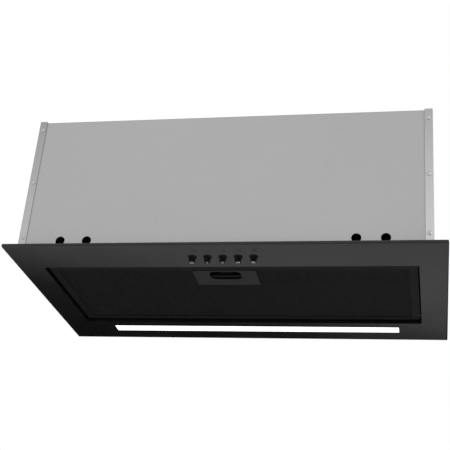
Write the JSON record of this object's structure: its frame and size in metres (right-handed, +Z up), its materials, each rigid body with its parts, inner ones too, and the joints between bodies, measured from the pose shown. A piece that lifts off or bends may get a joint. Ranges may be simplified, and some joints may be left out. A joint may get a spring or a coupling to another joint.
{
  "type": "built-in range hood",
  "caption": "Built-in kitchen range hood with a black fascia, hinged grease filter, push buttons, LED strip and a centrifugal blower with a top duct spigot.",
  "frame": {"origin": "middle of the front of the fascia's bearing flange, on the face that lies against the cabinet's underside", "axes": "+X to the right seen from the front, +Y to the rear, +Z up towards the duct"},
  "size_m": [0.6, 0.345, 0.2622],
  "materials": {
    "black_paint": "satin black powder coat",
    "black_aluminium": "satin black paint on aluminium",
    "galvanised_steel": "matt galvanised with faint spangle",
    "zinc_fasteners": "bright zinc plate",
    "black_plastic": "fine moulded texture",
    "button_plastic": "semi-gloss black with white signs",
    "handle_plastic": "smooth satin",
    "bare_aluminium": "expanded mesh",
    "white_diffuser": "opal, lit",
    "led_board_green": "solder mask",
    "led_phosphor": "clear resin over phosphor",
    "grey_plastic": "moulded",
    "white_plastic": "moulded",
    "scroll_plastic": "moulded polypropylene",
    "impeller_plastic": "moulded polypropylene",
    "motor_steel": "zinc-plated",
    "lamination_steel": "stacked laminations",
    "copper_wire": "enamelled copper",
    "rubber": "matt",
    "capacitor_can": "drawn can",
    "cable_sheath": "PVC sheath"
  },
  "bodies": {
    "root": {"fascia": "black_paint", "housing_wrap": "galvanised_steel", "left_side_panel": "galvanised_steel", "right_side_panel": "galvanised_steel", "front_rivets": "zinc_fasteners", "rear_rivets": "zinc_fasteners", "top_rivets": "zinc_fasteners", "fascia_nuts": "zinc_fasteners", "filter_brackets": "galvanised_steel", "latch_keeper": "zinc_fasteners", "outlet_gasket": "rubber", "outlet_collar": "black_plastic", "collar_screws": "zinc_fasteners", "damper_rod": "zinc_fasteners", "cable_gland": "black_plastic", "junction_box": "grey_plastic", "junction_box_lid": "grey_plastic", "terminal_block": "white_plastic", "capacitor": "capacitor_can", "capacitor_clip": "galvanised_steel", "led_driver": "white_plastic", "wiring": "cable_sheath", "scroll_left": "scroll_plastic", "scroll_right": "scroll_plastic", "scroll_screws": "zinc_fasteners", "inlet_guard": "scroll_plastic", "motor_bracket": "motor_steel", "motor_grommets": "rubber", "motor_screws": "zinc_fasteners", "motor_shell": "motor_steel", "stator_core": "lamination_steel", "stator_windings": "copper_wire", "bearings": "zinc_fasteners", "switch_block": "black_plastic", "switch_nuts": "zinc_fasteners", "button_collars": "button_plastic", "button_springs": "zinc_fasteners", "led_diffuser": "white_diffuser", "led_board": "led_board_green", "led_chips": "led_phosphor", "led_channel": "galvanised_steel"},
    "filter": {"filter_frame": "black_aluminium", "filter_front_mesh": "black_aluminium", "filter_core": "black_aluminium", "filter_rear_mesh": "bare_aluminium", "filter_handle_plate": "handle_plastic", "filter_pins": "black_paint", "latch_springs": "zinc_fasteners"},
    "latch": {"filter_latch": "handle_plastic"},
    "fan": {"impeller": "impeller_plastic", "impeller_blades": "impeller_plastic", "motor_shaft": "zinc_fasteners", "rotor_core": "lamination_steel"},
    "damper_front": {"damper_flap_front": "black_plastic"},
    "damper_rear": {"damper_flap_rear": "black_plastic"},
    "button_1": {"button_1": "button_plastic"},
    "button_2": {"button_2": "button_plastic"},
    "button_3": {"button_3": "button_plastic"},
    "button_4": {"button_4": "button_plastic"},
    "button_5": {"button_5": "button_plastic"}
  },
  "joints": [
    {"name": "filter_swing", "type": "hinge", "parent": "root", "child": "filter", "pos_m": [0, 0.2615, 0.006], "axis": [1, 0, 0], "range_deg": [0, 85], "deforming": ["latch_keeper"]},
    {"name": "latch_slide", "type": "slide", "parent": "filter", "child": "latch", "axis": [0, 1, 0], "range_m": [0, 0.005], "stiffness_N_per_m": 500, "springref_m": -0.003, "deforming": ["latch_springs"]},
    {"name": "fan_spin", "type": "hinge", "parent": "root", "child": "fan", "pos_m": [0, 0.1115, 0.122], "axis": [1, 0, 0], "continuous": true},
    {"name": "damper_front_swing", "type": "hinge", "parent": "root", "child": "damper_front", "pos_m": [0, 0.1665, 0.2122], "axis": [-1, 0, 0], "range_deg": [0, 75]},
    {"name": "damper_rear_swing", "type": "hinge", "parent": "root", "child": "damper_rear", "pos_m": [0, 0.1665, 0.2122], "axis": [1, 0, 0], "range_deg": [0, 75]},
    {"name": "button_1_press", "type": "slide", "parent": "root", "child": "button_1", "axis": [0, 0, 1], "range_m": [0, 0.003], "stiffness_N_per_m": 700, "springref_m": -0.003, "deforming": ["button_springs"]},
    {"name": "button_2_press", "type": "slide", "parent": "root", "child": "button_2", "axis": [0, 0, 1], "range_m": [0, 0.003], "stiffness_N_per_m": 700, "springref_m": -0.003, "deforming": ["button_springs"]},
    {"name": "button_3_press", "type": "slide", "parent": "root", "child": "button_3", "axis": [0, 0, 1], "range_m": [0, 0.003], "stiffness_N_per_m": 700, "springref_m": -0.003, "deforming": ["button_springs"]},
    {"name": "button_4_press", "type": "slide", "parent": "root", "child": "button_4", "axis": [0, 0, 1], "range_m": [0, 0.003], "stiffness_N_per_m": 700, "springref_m": -0.003, "deforming": ["button_springs"]},
    {"name": "button_5_press", "type": "slide", "parent": "root", "child": "button_5", "axis": [0, 0, 1], "range_m": [0, 0.003], "stiffness_N_per_m": 700, "springref_m": -0.003, "deforming": ["button_springs"]}
  ]
}
